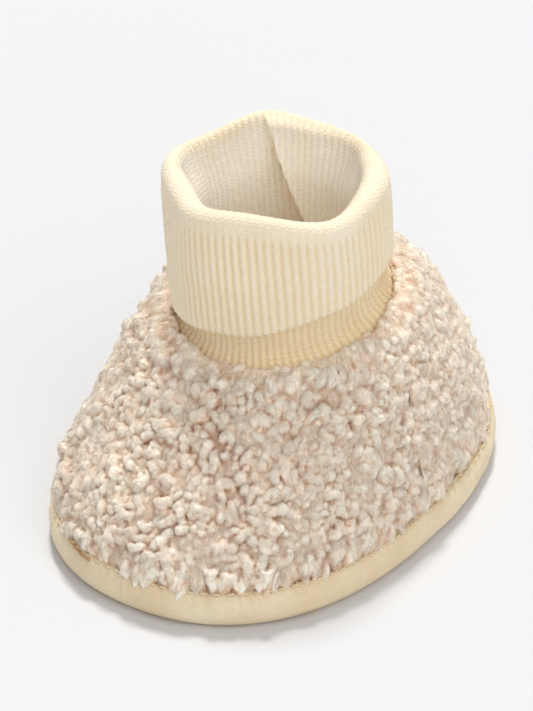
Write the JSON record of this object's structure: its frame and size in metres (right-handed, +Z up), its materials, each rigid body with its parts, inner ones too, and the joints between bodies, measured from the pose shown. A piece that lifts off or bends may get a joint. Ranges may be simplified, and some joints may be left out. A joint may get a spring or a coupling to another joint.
{
  "type": "baby bootie",
  "caption": "Soft baby bootie with a pile fleece upper, a padded cotton sole with an edge band, and a turned-down rib-knit ankle cuff that unrolls upwards.",
  "frame": {"origin": "bottom centre of the sole, on the floor plane", "axes": "+Z up, -Y towards the toe, +Y towards the heel, +X to the side"},
  "size_m": [0.0758, 0.1088, 0.077],
  "materials": {
    "fleece": "curly oatmeal sherpa pile on a knitted backing",
    "rib_knit": "cream one-by-one rib knit, matt",
    "sole_cotton": "cream cotton, fine matt weave",
    "lining_jersey": "off-white cotton jersey",
    "wadding": "white polyester wadding",
    "thread": "cream sewing thread"
  },
  "bodies": {
    "bootie": {"outsole": "sole_cotton", "sole_edge_band": "sole_cotton", "sole_wadding": "wadding", "insole": "lining_jersey", "fleece_vamp": "fleece", "fleece_quarter": "fleece", "lining_vamp": "lining_jersey", "lining_quarter": "lining_jersey", "cuff_neck": "rib_knit", "outsole_seam_thread": "thread", "sole_seam_thread": "thread", "insole_seam_thread": "thread", "collar_seam_thread": "thread", "fleece_side_seam_threads": "thread", "lining_side_seam_threads": "thread", "cuff_tube_seam_thread": "thread"},
    "cuff": {"cuff_turndown": "rib_knit"}
  },
  "joints": [
    {"name": "cuff_unroll", "type": "slide", "parent": "bootie", "child": "cuff", "axis": [0, -0.1191, 0.9929], "range_m": [0, 0.0275]}
  ]
}
